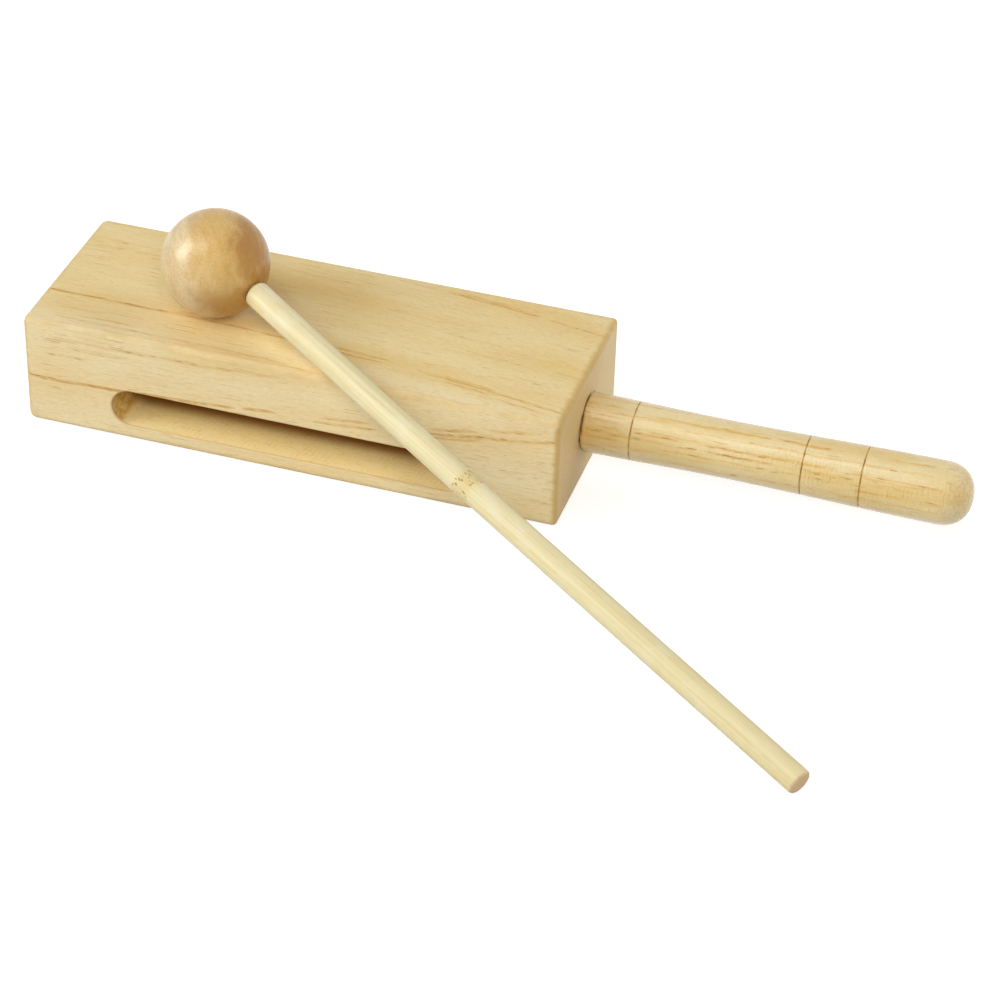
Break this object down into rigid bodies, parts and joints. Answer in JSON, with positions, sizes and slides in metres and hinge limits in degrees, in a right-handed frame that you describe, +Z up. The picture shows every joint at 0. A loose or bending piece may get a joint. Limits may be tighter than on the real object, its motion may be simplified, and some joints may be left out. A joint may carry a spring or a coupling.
{
  "type": "wood block",
  "caption": "Handled wood block with a round-ended resonator slot and a turned handle, and a loose mallet with a wooden ball head on a bamboo stick.",
  "frame": {"origin": "centre of the block's flat underside", "axes": "+X along the block towards the handle, +Y towards the block's back, away from the slotted side, +Z up"},
  "size_m": [0.3045, 0.1669, 0.0745],
  "materials": {
    "block_wood": "pale straight-grained wood with brown latewood streaks, sanded and thinly sealed, satin",
    "handle_wood": "turned golden wood with coarse brown streaks and burnt rings, clear gloss lacquer",
    "bamboo": "cream bamboo dowel with fine lengthwise fibres, semi-gloss",
    "ball_wood": "tan close-grained hardwood, turned and lacquered, glossy"
  },
  "bodies": {
    "block": {"resonator_block": "block_wood", "handle": "handle_wood"},
    "mallet": {"mallet_stick": "bamboo", "mallet_head": "ball_wood"}
  },
  "joints": [
    {"name": "mallet_lift", "type": "slide", "parent": "block", "child": "mallet", "axis": [0, 0, 1], "range_m": [0, 0.15]}
  ]
}
